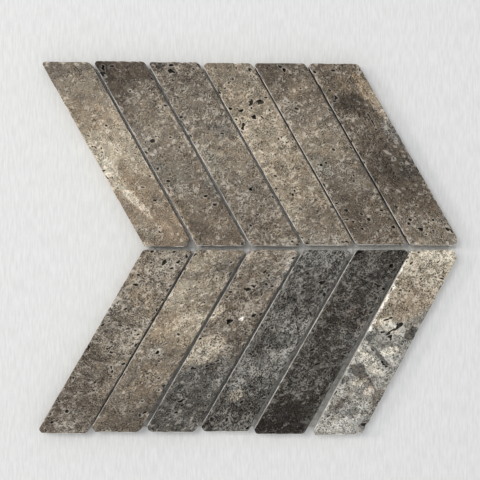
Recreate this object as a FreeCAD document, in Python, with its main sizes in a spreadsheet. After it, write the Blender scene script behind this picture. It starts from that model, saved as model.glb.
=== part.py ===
import FreeCAD, Part
import math
import os
import Sketcher

# One sheet of chevron wall tile: twelve tumbled travertine stones in two leaning rows,
# glued by their backs to a trimmed scrim of glass yarn.
# The frame has +Z out of the stones' face, +X towards the sheet's point and +Y up the wall.
# Lengths are in millimetres and angles in degrees.

# What sets the sheet, the same for every stone
SIZES = [
    ("stone_length", 152.4),
    ("stone_width", 31.75),
    ("stone_thickness", 10.0),
    ("stone_lean", 30.0),
    ("side_joint", 1.6),
    ("centre_joint", 3.0),
    ("face_arris", 1.4),
    ("void_depth", 2.4),
    ("void_taper", 10.0),
    ("void_overcut", 0.5),
    ("yarn_pitch", 5.0),
    ("yarn_width", 1.0),
    ("yarn_thickness", 0.35),
    ("scrim_inset", 2.5),
]

# How each stone differs from the rule, as sawn, tumbled and dropped into its place:
# shift along X, rise along Y, turn about Z, wider and longer than the rule,
# then the radius that tumbling left on its four upright corners.
STONE_COLUMNS = (
    "shift", "rise", "turn", "wider", "longer",
    "outer_left", "outer_right", "inner_right", "inner_left",
)
STONES = {
    "upper_stone_1": (0.5, -0.05, -0.7, -0.4, 0.5, 2.2, 5.5, 5.0, 2.2),
    "upper_stone_2": (0.35, 0.35, -0.65, 0.6, 0.5, 2.2, 4.0, 3.0, 2.4),
    "upper_stone_3": (1.0, 0.05, -0.6, 0.5, 0.0, 2.2, 3.2, 2.2, 2.4),
    "upper_stone_4": (0.8, -0.05, -0.4, -0.4, -1.2, 2.8, 3.8, 3.0, 2.6),
    "upper_stone_5": (0.2, 0.0, -0.35, 0.7, -1.5, 2.2, 2.6, 2.4, 2.6),
    "upper_stone_6": (0.35, -0.25, -0.3, 0.35, -1.4, 2.4, 3.0, 4.2, 2.4),
    "lower_stone_1": (-1.35, -0.15, -0.2, -0.1, 0.8, 3.4, 5.0, 2.2, 3.6),
    "lower_stone_2": (-1.7, 0.3, -0.45, -0.3, 0.2, 3.6, 6.5, 2.4, 3.2),
    "lower_stone_3": (-1.05, 0.3, -0.15, 0.1, -0.3, 4.0, 5.5, 2.4, 4.0),
    "lower_stone_4": (-0.9, 0.55, -0.15, -0.5, -0.9, 4.0, 3.4, 3.0, 4.0),
    "lower_stone_5": (-0.1, -0.4, 0.25, 1.45, 0.7, 3.4, 4.0, 2.2, 3.0),
    "lower_stone_6": (1.9, -0.7, 1.65, 0.2, -0.8, 3.0, 4.6, 5.5, 2.2),
}

# The larger natural voids open on each face, and the bites that tumbling opened on an arris.
# Each is: up from the stone's middle as a share of its half height, across from its slanting
# centre line as a share of its half width, then its length, width and angle from X.
VOIDS = {
    "upper_stone_1": [
        (-0.39, 0.27, 4.5, 2.0, 0), (-0.16, -0.71, 3.0, 2.0, 20), (-0.24, 0.76, 2.6, 2.0, 40),
    ],
    "upper_stone_2": [
        (0.98, -0.82, 3.6, 2.6, 30), (-0.32, -0.74, 3.6, 2.0, 0), (-0.47, 0.44, 3.0, 2.0, 30),
        (-0.62, -0.11, 2.6, 2.0, 0),
    ],
    "upper_stone_3": [
        (0.90, -0.33, 5.0, 4.0, 60), (0.89, 0.03, 3.6, 3.0, 20), (0.39, -0.79, 3.6, 2.6, 45),
        (0.20, -1.04, 4.4, 3.6, 120), (-0.38, 0.27, 2.6, 2.0, 0),
    ],
    "upper_stone_4": [
        (0.52, 0.00, 5.5, 3.0, 35), (0.57, 0.46, 3.6, 2.8, 20), (0.61, 0.76, 3.4, 2.0, 0),
        (0.47, -0.38, 3.6, 2.8, 50), (0.37, -0.14, 5.5, 2.2, 55), (0.33, -0.98, 5.0, 3.0, 120),
        (-0.25, -0.52, 3.6, 2.0, 0), (0.93, 0.68, 4.0, 3.0, 70),
    ],
    "upper_stone_5": [
        (0.92, -0.05, 4.5, 3.0, 60), (0.54, -0.41, 3.0, 2.6, 0), (-0.33, -0.80, 4.0, 2.0, 120),
        (-0.13, -0.60, 2.8, 2.0, 30), (-0.30, 0.30, 2.8, 2.0, 30), (-0.80, 0.76, 3.0, 2.0, 0),
    ],
    "upper_stone_6": [
        (0.38, 0.19, 14.0, 2.0, 120), (0.58, -0.71, 3.2, 2.6, 60), (-0.76, -0.55, 3.0, 2.4, 30),
        (-0.75, 0.19, 2.8, 2.0, 0), (-0.71, 0.44, 2.4, 2.0, 60),
    ],
    "lower_stone_1": [
        (0.61, -0.41, 4.0, 2.0, 160), (0.14, 0.25, 4.0, 2.0, 0), (0.09, 0.65, 3.2, 2.2, 160),
        (-0.31, 0.49, 3.6, 2.4, 140), (-0.77, -0.38, 4.0, 2.0, 0), (-0.40, -0.74, 5.0, 2.0, 110),
    ],
    "lower_stone_2": [(0.40, 0.80, 2.6, 2.0, 60)],
    "lower_stone_3": [
        (0.60, 0.14, 3.8, 2.2, 20), (0.55, -0.11, 3.6, 2.6, 40), (0.21, -0.16, 3.4, 2.6, 150),
        (-0.21, 0.22, 3.6, 2.0, 15), (-0.69, -0.74, 4.0, 2.0, 10),
    ],
    "lower_stone_4": [
        (0.65, 0.55, 5.6, 2.6, 10), (0.58, 0.05, 5.5, 2.0, 15), (-0.86, -0.74, 3.8, 3.0, 140),
        (-0.83, -0.30, 5.5, 2.6, 80), (-0.92, 0.70, 3.6, 2.0, 30),
    ],
    "lower_stone_5": [
        (0.97, -0.82, 5.0, 4.0, 60), (0.66, 0.35, 21.0, 2.0, 156), (0.83, 0.71, 3.0, 2.2, 120),
        (-0.11, -0.55, 3.6, 2.6, 0),
    ],
    "lower_stone_6": [
        (0.92, -1.01, 3.6, 3.0, 60), (0.25, -0.44, 5.0, 2.6, 160), (0.18, 0.05, 4.6, 4.0, 30),
        (-0.14, 0.00, 4.4, 2.8, 130), (-0.90, 0.95, 4.0, 2.6, 60),
    ],
}

STONES_IN_A_ROW = 6
PARTS = "parts"
SMALL = 1e-4


def sign_of(name):
    """+1 for the upper row, which leans back to the left, and -1 for the lower row."""
    return 1 if name.startswith("upper") else -1


def fill_sheet(doc):
    """The spreadsheet of driving dimensions: one column for the sheet, then a block for the stones."""
    sheet = doc.addObject("Spreadsheet::Sheet", "sizes")
    for row, (name, value) in enumerate(SIZES, start=1):
        sheet.set(f"A{row}", name)
        sheet.set(f"B{row}", str(value))
        sheet.setAlias(f"B{row}", name)
    first = len(SIZES) + 2
    for row, (stone, values) in enumerate(STONES.items(), start=first):
        sheet.set(f"A{row}", stone)
        for column, (name, value) in zip("BCDEFGHIJ", zip(STONE_COLUMNS, values)):
            sheet.set(f"{column}{row}", str(value))
            sheet.setAlias(f"{column}{row}", f"{stone}_{name}")
    centring = first + len(STONES) + 1
    for row, name in enumerate(("centring_x", "centring_y"), start=centring):
        sheet.set(f"A{row}", name)
        sheet.set(f"B{row}", "0")
        sheet.setAlias(f"B{row}", name)
    doc.recompute()
    return sheet


def plane_of(body, role):
    """The body's own origin plane of that role."""
    return next(f for f in body.Origin.OriginFeatures if f.Role == role)


def new_sketch(body, name, height=None):
    """A sketch on the body's XY plane, or above it by the height that an expression gives."""
    sketch = body.newObject("Sketcher::SketchObject", name)
    sketch.AttachmentSupport = [(plane_of(body, "XY_Plane"), "")]
    sketch.MapMode = "FlatFace"
    if height:
        sketch.setExpression("AttachmentOffset.Base.z", height)
    return sketch


def point(x, y):
    return FreeCAD.Vector(x, y, 0)


def half_sizes(sizes):
    """Half of a stone's height up the wall, and half of its level width, by the rule."""
    lean = math.radians(sizes["stone_lean"])
    return sizes["stone_length"] * math.cos(lean) / 2, sizes["stone_width"] / math.cos(lean) / 2


def outline_sketch(body, sizes, stone):
    """The stone's sawn outline: a parallelogram about the body's origin, held by its sizes and lean."""
    sketch = new_sketch(body, "Outline")
    side = sign_of(stone)
    lean = math.radians(sizes["stone_lean"])
    half_up, half_base = half_sizes(sizes)
    slide = half_up * math.tan(lean) * side
    a, b = point(slide - half_base, -half_up), point(slide + half_base, -half_up)
    c, d = point(half_base - slide, half_up), point(-half_base - slide, half_up)
    for start, end in ((a, b), (b, c), (d, c), (a, d)):
        sketch.addGeometry(Part.LineSegment(start, end), False)
    bottom, right, top, left = range(4)
    start, end = 1, 2
    origin = (-1, 1)
    for one, two in (
        ((bottom, start), (left, start)),
        ((bottom, end), (right, start)),
        ((right, end), (top, end)),
        ((top, start), (left, end)),
    ):
        sketch.addConstraint(Sketcher.Constraint("Coincident", *one, *two))
    sketch.addConstraint(Sketcher.Constraint("Horizontal", bottom))
    sketch.addConstraint(Sketcher.Constraint("Horizontal", top))
    sketch.addConstraint(Sketcher.Constraint("Parallel", left, right))
    sketch.addConstraint(Sketcher.Constraint("Symmetric", bottom, start, right, end, *origin))
    driven = (
        ("lean", Sketcher.Constraint("Angle", left, math.radians(90) + lean * side),
         f"90 + {side} * sizes.stone_lean"),
        ("length", Sketcher.Constraint("Distance", left, sizes["stone_length"]),
         f"sizes.stone_length + sizes.{stone}_longer"),
        ("width", Sketcher.Constraint("Distance", bottom, start, right, sizes["stone_width"]),
         f"sizes.stone_width + sizes.{stone}_wider"),
    )
    for name, constraint, expression in driven:
        index = sketch.addConstraint(constraint)
        sketch.renameConstraint(index, name)
        sketch.setExpression(f"Constraints.{name}", expression)
    return sketch


def upright_edge(shape, right, up):
    """The upright edge at one corner: the far one to the right or left at the end asked for."""
    box = shape.BoundBox
    upright = [
        e for e in shape.Edges
        if e.Curve.TypeId == "Part::GeomLine" and abs(e.BoundBox.ZLength - box.ZLength) < SMALL
    ]
    level = box.YMax if up else box.YMin
    at_end = [e for e in upright if abs(e.BoundBox.Center.y - level) < SMALL]
    chosen = (max if right else min)(at_end, key=lambda e: e.BoundBox.Center.x)
    return next(f"Edge{n}" for n, e in enumerate(shape.Edges, start=1) if e.isSame(chosen))


def edges_at(shape, level):
    """The names of the edges that lie in the plane at one height."""
    return [
        f"Edge{n}" for n, e in enumerate(shape.Edges, start=1)
        if abs(e.BoundBox.ZMin - level) < SMALL and abs(e.BoundBox.ZMax - level) < SMALL
    ]


def add_fillet(body, base, edges, name, radius):
    """A fillet on some edges of the body's last feature, with its radius held by an expression."""
    fillet = body.newObject("PartDesign::Fillet", name)
    fillet.Base = (base, edges)
    fillet.setExpression("Radius", radius)
    FreeCAD.ActiveDocument.recompute()
    return fillet


def void_outline(void, half_up, half_base, slope):
    """A lens of six corners, pointed at both ends like the natural voids."""
    up, across, length, width, angle = void
    along = FreeCAD.Vector(math.cos(math.radians(angle)), math.sin(math.radians(angle)), 0)
    over = FreeCAD.Vector(-along.y, along.x, 0)
    middle = point(across * half_base - up * half_up * slope, up * half_up)
    tip, shoulder, half = length / 2, length / 4, width / 2
    lens = ((-tip, 0), (-shoulder, -half), (shoulder, -half), (tip, 0), (shoulder, half), (-shoulder, half))
    return [middle + along * u + over * v for u, v in lens]


def voids_sketch(body, sizes, stone):
    """The voids open on this stone's face, drawn a little above it so that they cut right through it."""
    sketch = new_sketch(body, "Voids", "sizes.stone_thickness + sizes.void_overcut")
    half_up, half_base = half_sizes(sizes)
    slope = math.tan(math.radians(sizes["stone_lean"])) * sign_of(stone)
    for void in VOIDS[stone]:
        corners = void_outline(void, half_up, half_base, slope)
        first = sketch.GeometryCount
        for start, end in zip(corners, corners[1:] + corners[:1]):
            sketch.addGeometry(Part.LineSegment(start, end), False)
        count = len(corners)
        for n in range(count):
            sketch.addConstraint(Sketcher.Constraint("Coincident", first + n, 2, first + (n + 1) % count, 1))
    return sketch


def place_stone(body, stone):
    """Where the stone lies on the sheet, by expressions, with its own shift, rise and turn."""
    row, number = sign_of(stone), int(stone.rsplit("_", 1)[1])
    from_middle = number - (STONES_IN_A_ROW + 1) / 2
    pitch = "(sizes.stone_width + sizes.side_joint) / cos(sizes.stone_lean * 1 deg)"
    to_row = "(sizes.centre_joint + sizes.stone_length * cos(sizes.stone_lean * 1 deg)) / 2"
    along = f"{from_middle} * {pitch} + sizes.{stone}_shift + sizes.centring_x"
    up = f"{row} * {to_row} + sizes.{stone}_rise + sizes.centring_y"
    body.setExpression("Placement.Base.x", along)
    body.setExpression("Placement.Base.y", up)
    body.setExpression("Placement.Base.z", "2 * sizes.yarn_thickness")
    body.setExpression("Placement.Rotation.Angle", f"sizes.{stone}_turn")


def make_stone(doc, sizes, stone):
    """One tumbled stone: a sawn slab, its corners and face arris worn round, its voids open on the face."""
    body = doc.addObject("PartDesign::Body", stone)
    body.Label = stone
    outline = outline_sketch(body, sizes, stone)
    slab = body.newObject("PartDesign::Pad", "Slab")
    slab.Profile = outline
    slab.setExpression("Length", "sizes.stone_thickness")
    doc.recompute()
    upper = sign_of(stone) > 0
    solid = slab
    for corner in ("outer_left", "outer_right", "inner_right", "inner_left"):
        at_top = corner.startswith("outer") == upper
        edge = upright_edge(solid.Shape, corner.endswith("right"), at_top)
        solid = add_fillet(body, solid, [edge], corner.title().replace("_", ""), f"sizes.{stone}_{corner}")
    face_edges = edges_at(solid.Shape, sizes["stone_thickness"])
    solid = add_fillet(body, solid, face_edges, "FaceArris", "sizes.face_arris")
    whole = solid.Shape.Volume
    pocket = body.newObject("PartDesign::Pocket", "OpenVoids")
    pocket.Profile = voids_sketch(body, sizes, stone)
    pocket.setExpression("Length", "sizes.void_depth + sizes.void_overcut")
    pocket.setExpression("TaperAngle", "-sizes.void_taper")
    doc.recompute()
    body.Tip = pocket
    if pocket.Shape.Volume > whole - 1:
        raise RuntimeError(f"{stone}: its voids cut nothing")
    place_stone(body, stone)
    return body


def scrim_outline(doc, sizes):
    """The chevron that the scrim is trimmed to, a little inside the stones, as a solid to cut with."""
    lean = math.radians(sizes["stone_lean"])
    pitch = (sizes["stone_width"] + sizes["side_joint"]) / math.cos(lean)
    inset = sizes["scrim_inset"]
    half_row = (STONES_IN_A_ROW * pitch - sizes["side_joint"] / math.cos(lean)) / 2 - inset / math.cos(lean)
    half_up = sizes["centre_joint"] / 2 + sizes["stone_length"] * math.cos(lean)
    middle = half_up * math.tan(lean) / 2
    reach = half_up - inset
    end = middle - reach * math.tan(lean)
    corners = [
        (-half_row + middle, 0), (-half_row + end, reach), (half_row + end, reach),
        (half_row + middle, 0), (half_row + end, -reach), (-half_row + end, -reach),
    ]
    wire = doc.addObject("Part::Polygon", "ScrimOutline")
    wire.Nodes = [point(x, y) for x, y in corners]
    wire.Close = True
    solid = doc.addObject("Part::Extrusion", "ScrimCutter")
    solid.Base = wire
    solid.DirMode = "Custom"
    solid.Dir = FreeCAD.Vector(0, 0, 1)
    solid.Solid = True
    solid.setExpression("LengthFwd", "2 * sizes.yarn_thickness")
    solid.setExpression("Placement.Base.x", "sizes.centring_x")
    solid.setExpression("Placement.Base.y", "sizes.centring_y")
    return solid, max(abs(x) for x, _ in corners), reach


def make_yarns(doc, sizes, label, along, reach, run, level, cutter):
    """One layer of the scrim: yarns side by side at the pitch, all one way, trimmed to the chevron."""
    across = "y" if along == "x" else "x"
    size_along, size_across = ("Length", "Width") if along == "x" else ("Width", "Length")
    steps = int((reach - sizes["yarn_width"] / 2) / sizes["yarn_pitch"])
    yarns = []
    for step in range(-steps, steps + 1):
        yarn = doc.addObject("Part::Box", f"{label}_yarn")
        setattr(yarn, size_along, 2 * run)
        yarn.setExpression(size_across, "sizes.yarn_width")
        yarn.setExpression("Height", "sizes.yarn_thickness")
        yarn.setExpression(f"Placement.Base.{along}", f"-{run} + sizes.centring_{along}")
        yarn.setExpression(
            f"Placement.Base.{across}",
            f"{step} * sizes.yarn_pitch - sizes.yarn_width / 2 + sizes.centring_{across}",
        )
        yarn.setExpression("Placement.Base.z", f"{level} * sizes.yarn_thickness")
        yarns.append(yarn)
    layer = doc.addObject("Part::Compound", f"{label}_layer")
    layer.Links = yarns
    trimmed = doc.addObject("Part::Common", label)
    trimmed.Base = layer
    trimmed.Tool = cutter
    trimmed.Label = label
    return trimmed


def centre_sheet(doc, sheet, parts):
    """Moves the whole sheet so that the middle of its exact box is over the origin."""
    box = FreeCAD.BoundBox()
    for part in parts:
        box.add(part.Shape.optimalBoundingBox(False))
    for name, middle in (("centring_x", box.Center.x), ("centring_y", box.Center.y)):
        sheet.set(sheet.getCellFromAlias(name), str(round(-middle, 4)))
    doc.recompute()


def check(doc, parts):
    """Stops the build if any feature failed, or a part isn't a valid solid."""
    failed = [o.Name for o in doc.Objects if "Invalid" in o.State or "Error" in o.State]
    if failed:
        raise RuntimeError(f"these features failed: {failed}")
    for part in parts:
        if part.Shape.isNull() or not part.Shape.isValid() or not part.Shape.Solids:
            raise RuntimeError(f"{part.Label} is not a valid solid")


def main():
    doc = FreeCAD.newDocument("chevron_sheet")
    sheet = fill_sheet(doc)
    sizes = {name: sheet.get(name) for name, _ in SIZES}
    parts = [make_stone(doc, sizes, stone) for stone in STONES]
    cutter, reach_x, reach_y = scrim_outline(doc, sizes)
    parts.append(make_yarns(doc, sizes, "scrim_weft", "x", reach_y, reach_x, 0, cutter))
    parts.append(make_yarns(doc, sizes, "scrim_warp", "y", reach_x, reach_y, 1, cutter))
    doc.recompute()
    centre_sheet(doc, sheet, parts)
    check(doc, parts)
    os.makedirs(PARTS, exist_ok=True)
    for part in parts:
        part.Shape.exportStep(os.path.join(PARTS, f"{part.Label}.step"))


main()
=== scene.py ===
import math
from collections import namedtuple

import bmesh
import bpy
import numpy as np
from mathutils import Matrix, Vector


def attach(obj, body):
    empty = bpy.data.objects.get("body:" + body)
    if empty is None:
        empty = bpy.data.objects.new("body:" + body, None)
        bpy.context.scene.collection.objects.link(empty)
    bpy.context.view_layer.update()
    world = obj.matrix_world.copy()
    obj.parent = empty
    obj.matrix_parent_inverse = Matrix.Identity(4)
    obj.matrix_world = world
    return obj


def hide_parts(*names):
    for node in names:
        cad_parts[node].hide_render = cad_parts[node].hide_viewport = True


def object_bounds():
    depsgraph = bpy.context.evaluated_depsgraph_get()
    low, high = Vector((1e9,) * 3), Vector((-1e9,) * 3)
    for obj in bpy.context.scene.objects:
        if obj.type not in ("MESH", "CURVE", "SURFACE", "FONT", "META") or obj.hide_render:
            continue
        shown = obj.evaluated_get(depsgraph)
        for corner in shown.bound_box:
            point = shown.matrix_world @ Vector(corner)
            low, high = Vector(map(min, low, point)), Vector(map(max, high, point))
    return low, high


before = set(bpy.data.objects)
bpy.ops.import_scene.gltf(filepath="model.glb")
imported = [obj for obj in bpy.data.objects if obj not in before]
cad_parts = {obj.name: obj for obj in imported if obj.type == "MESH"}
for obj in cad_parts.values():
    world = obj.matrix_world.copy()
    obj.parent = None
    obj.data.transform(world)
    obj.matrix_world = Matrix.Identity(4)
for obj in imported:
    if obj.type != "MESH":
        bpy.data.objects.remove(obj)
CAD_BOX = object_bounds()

# A sheet of chevron wall tile: each CAD stone is dressed by a tumbled travertine one of the same outline,
# carved out of a distance field and meshed, and the scrim behind keeps its CAD yarns.
# Lengths are in millimetres up to the point where a mesh is written in metres.
MM = 0.001
CELL = 0.54

# The view: straight down on the sheet. PIXEL is the width of a pixel of the photo at the stones' faces,
# and VIEW_MIDDLE is where the photo's middle lies.
PHOTO_PIXELS = 480
PIXEL = 0.7195
VIEW_MIDDLE = (-6.39, 5.97)
VIEW_DISTANCE = 800.0
SENSOR = 36.0

# Colours of the travertine, as sRGB
SOOT, COAL, CHARCOAL = (40, 35, 30), (54, 48, 42), (68, 61, 54)
GRAPHITE, SLATE, STEEL = (81, 77, 71), (95, 92, 87), (110, 112, 112)
PEWTER, ASH, SILVER = (125, 121, 114), (141, 137, 129), (161, 158, 151)
CHALK, WHITE = (184, 181, 174), (236, 236, 234)
UMBER, BARK, EARTH = (88, 78, 68), (104, 94, 83), (116, 104, 90)
TAUPE, DRAB, FAWN = (126, 116, 103), (134, 123, 109), (142, 130, 114)
SAND, BEIGE, OATMEAL = (154, 140, 121), (166, 154, 136), (178, 166, 147)
CREAM, IVORY = (192, 180, 160), (200, 192, 176)
OCHRE, TAN, CLAY = (144, 123, 97), (166, 145, 118), (150, 132, 112)
ROSE, RUST = (180, 160, 142), (96, 72, 60)
MOSS, SAGE = (120, 121, 108), (140, 142, 132)

# What makes each stone its own. Places are in hundredths of the stone, across from its left edge and then
# down from its top edge. Sizes are in millimetres. Angles are anticlockwise from across, the lean taken out.
# pits: how many small ones for each square centimetre of face. level: how bright the whole stone is.
# grain: how strong the fine texture is. thread: how much of it is pale calcite. bed: the angle it runs at.
# dust: how much pale dust, and painted light lifting the shaded joints, is on the walls. grades: down and
# colour. patches and voids: as named below.
Stone = namedtuple("Stone", "pits level grain thread bed dust grades patches voids")
Patch = namedtuple("Patch", "rgb across down half_width half_height strength angle", defaults=[0])
Void = namedtuple("Void", "across down length width angle", defaults=[0])
STONES = {}
STONES["upper_stone_1"] = Stone(
    pits=2, level=1.04, grain=0.54, thread=0.32, bed=40, dust=0.15,
    grades=[(0, TAUPE), (20, DRAB), (33, SAND), (45, OATMEAL), (57, SAND), (85, CLAY), (100, EARTH)],
    patches=[
        (SLATE, 13, 7, 10.1, 8.7, 0.35), (SAND, 53, 10, 5.8, 4.3, 0.4), (CLAY, 32, 27, 14.5, 8.7, 0.5),
        (OATMEAL, 92, 34, 6.5, 9.4, 0.7), (SAND, 18, 28, 5.1, 5.1, 0.6), (CREAM, 30, 47, 10.8, 8.7, 0.5),
        (IVORY, 10, 59, 6.5, 11.6, 0.8), (OCHRE, 56, 67, 7.9, 11.6, 0.4), (CLAY, 83, 87, 6.5, 13, 0.35),
        (SAGE, 27, 90, 6.5, 8.7, 0.4), (DRAB, 7, 82, 5.1, 8.7, 0.6), (EARTH, 75, 80, 5.8, 9.4, 0.5),
        (DRAB, 60, 70, 5.8, 8.7, 0.5), (OATMEAL, 20, 68, 5.8, 10.1, 0.6, 20),
        (IVORY, 33, 75.5, 3.4, 14, 0.94, 24), (TAUPE, 85, 69, 4.3, 8.7, 0.6),
        (OATMEAL, 7, 100, 5.8, 4.3, 0.6),
    ],
    voids=[
        (60, 35, 2.2, 1.4, 30), (56, 38, 2.2, 1.1, 30), (16, 58, 2.9, 1.1, 150), (7, 59, 2.2, 1.1),
        (90, 62, 1.8, 1.8), (62, 68, 4.3, 1.6, 10), (73, 75, 2.2, 1.4), (99, 25, 2.9, 1.8, 90),
        (0, 34, 3.6, 1.4, 90), (47, 92, 2.2, 1.4, 50), (53, 90, 2.2, 1.1, 50),
    ],
)
STONES["upper_stone_2"] = Stone(
    pits=3, level=1.01, grain=0.54, thread=0.38, bed=40, dust=0.15,
    grades=[(0, UMBER), (12, BARK), (30, DRAB), (50, DRAB), (65, TAUPE), (80, EARTH), (100, EARTH)],
    patches=[
        (SOOT, 15, 6, 6.5, 8.7, 0.55), (UMBER, 60, 5, 13, 9.4, 0.8), (UMBER, 14, 18, 9.4, 8.7, 0.6),
        (UMBER, 4, 26, 6.5, 7.2, 0.7), (BEIGE, 85, 25, 4.3, 5.8, 0.5), (FAWN, 50, 32, 14.5, 13, 0.4),
        (SLATE, 89, 70, 5.1, 8.7, 0.5), (MOSS, 35, 62, 10.8, 10.8, 0.35), (FAWN, 67, 87, 10.1, 5.8, 0.35),
        (UMBER, 29, 91, 8.7, 7.2, 0.35), (STEEL, 12, 48, 4.3, 18.1, 0.3), (FAWN, 28, 78, 5.1, 5.8, 0.5),
        (BEIGE, 0, 82, 3.3, 24.6, 0.6), (EARTH, 61, 70, 5.8, 5.8, 0.7), (TAUPE, 22, 43, 5.8, 5.8, 0.5),
    ],
    voids=[
        (13, 4, 4.3, 2.9, 60), (5, 8, 3.6, 2.2, 100), (31, 3, 3.6, 2.2), (77, 25, 1.8, 1.4),
        (95, 31, 2.2, 1.1, 90), (30, 43, 2.9, 1.8, 20), (40, 41, 1.4, 1.1), (6, 50, 2.9, 1.4, 20),
        (10, 58, 2.2, 1.8), (16, 65, 2.9, 2.2), (10, 68, 2.9, 1.8, 150), (25, 73, 2.2, 1.1, 30),
        (72, 73, 2.9, 1.4, 20), (79, 78, 2.9, 2.2), (85, 77, 1.8, 1.4), (54, 81, 2.2, 1.4),
        (63, 90, 2.9, 1.4, 40),
    ],
)
STONES["upper_stone_3"] = Stone(
    pits=5, level=0.93, grain=0.76, thread=0.45, bed=45, dust=0.15,
    grades=[(0, BARK), (10, TAUPE), (35, TAUPE), (50, FAWN), (70, TAUPE), (100, EARTH)],
    patches=[
        (CHARCOAL, 27, 2, 8.7, 2.9, 0.7), (FAWN, 55, 4, 4.3, 3.6, 0.5), (SLATE, 76, 37, 8.7, 5.8, 0.6),
        (EARTH, 45, 16, 5.8, 5.8, 0.5), (SAGE, 14, 53, 5.8, 10.1, 0.5), (OATMEAL, 43, 50, 2.9, 2.2, 0.6),
        (GRAPHITE, 64, 69, 3.6, 2.9, 0.6), (EARTH, 15, 73, 6.5, 5.1, 0.65), (SAGE, 75, 97, 6.5, 3.6, 0.4),
        (GRAPHITE, 62, 38, 6.5, 5.1, 0.5), (BEIGE, 64, 93, 5.8, 5.8, 0.6),
        (BARK, 46, 89, 11.6, 10.1, 0.35), (BARK, 64, 13, 8.7, 10.1, 0.3), (BEIGE, 61, 59, 4.3, 4.3, 0.6),
        (BEIGE, 98, 43, 3.6, 8.7, 0.5), (OATMEAL, -2, 55, 3.3, 8.7, 0.8), (BEIGE, -2, 86, 3.3, 8.7, 0.7),
    ],
    voids=[
        (37, 5, 4, 3.6), (43, 2, 3.6, 2.2), (23, 1, 4.3, 1.4), (5, 16, 1.8, 1.4), (77, 26, 2.2, 1.4),
        (7, 30, 3.6, 1.4, 35), (1, 33, 2.2, 1.4, 35), (-2, 40, 3.6, 3.3), (67, 39, 2.9, 1.1),
        (62, 69, 3.6, 2.5, 30), (12, 72, 1.8, 1.4), (48, 83, 2.2, 1.4), (21, 89, 2.2, 1.4, 30),
        (80, 75, 1.8, 1.1), (90, 96, 2.9, 1.1, 45),
    ],
)
STONES["upper_stone_4"] = Stone(
    pits=5, level=0.85, grain=0.6, thread=0.42, bed=35, dust=0.15,
    grades=[(0, FAWN), (20, SAND), (50, SAND), (75, SAND), (90, FAWN), (100, FAWN)],
    patches=[
        (CLAY, 19, 20, 7.2, 14.5, 0.35), (OATMEAL, 28, 30, 8.7, 7.2, 0.5),
        (OATMEAL, 62, 37, 10.1, 8.7, 0.4), (OATMEAL, 60, 47, 8.7, 13, 0.4),
        (CREAM, 12, 47, 8.7, 14.5, 0.7), (BEIGE, 8, 64, 5.1, 10.1, 0.6), (OATMEAL, 12, 84, 5.1, 10.1, 0.6),
        (EARTH, 60, 84, 10.1, 10.1, 0.35), (ASH, 39, 97, 11.6, 5.1, 0.5), (DRAB, 33, 8, 8.7, 7.2, 0.3),
        (ASH, 83, 15, 4.3, 10.1, 0.3), (CREAM, 16, 33, 5.8, 5.8, 0.7), (OATMEAL, 67, 26, 5.8, 5.1, 0.5),
        (OATMEAL, 100, 71, 2.9, 8, 0.8), (TAUPE, 80, 66, 4.3, 5.8, 0.6), (EARTH, 30, 88, 5.1, 5.1, 0.5),
        (CREAM, -2, 86, 3.3, 10.1, 0.8), (OATMEAL, -2, 26, 2.9, 7.2, 0.7),
    ],
    voids=[
        (64, 3, 2.2, 1.1, 60), (88, 4, 3.3, 2.2, 70), (33, 11, 2.9, 1.1, 45), (19, 14, 2.5, 1.1, 45),
        (45, 9, 2.2, 1.1, 45), (0, 19, 4.3, 1.8, 80), (55, 22, 5.1, 2.2, 40), (49, 25, 2.9, 1.4, 40),
        (75, 21, 3.6, 2.9, 20), (91, 19, 3.6, 1.4), (28, 26, 2.9, 2.2, 30), (6, 25, 2.9, 2.9),
        (44, 30, 5.1, 2.5, 40), (14, 34, 3.6, 1.8, 40), (8, 36, 2.9, 1.8, 40), (-1, 34, 4.3, 2.2, 90),
        (6, 31, 2.2, 1.4, 40), (83, 26, 2.9, 1.1, 90), (78, 37, 2.2, 1.4, 60), (76, 41, 1.8, 1.1, 60),
        (54, 38, 1.8, 1.4), (21, 62, 3.6, 1.4, 5), (16, 68, 2.9, 1.4, 150), (8, 69, 2.2, 1.4),
        (42, 70, 2.2, 1.4, 60), (34, 72, 2.9, 1.4, 60), (89, 98, 2.2, 1.4),
    ],
)
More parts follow.
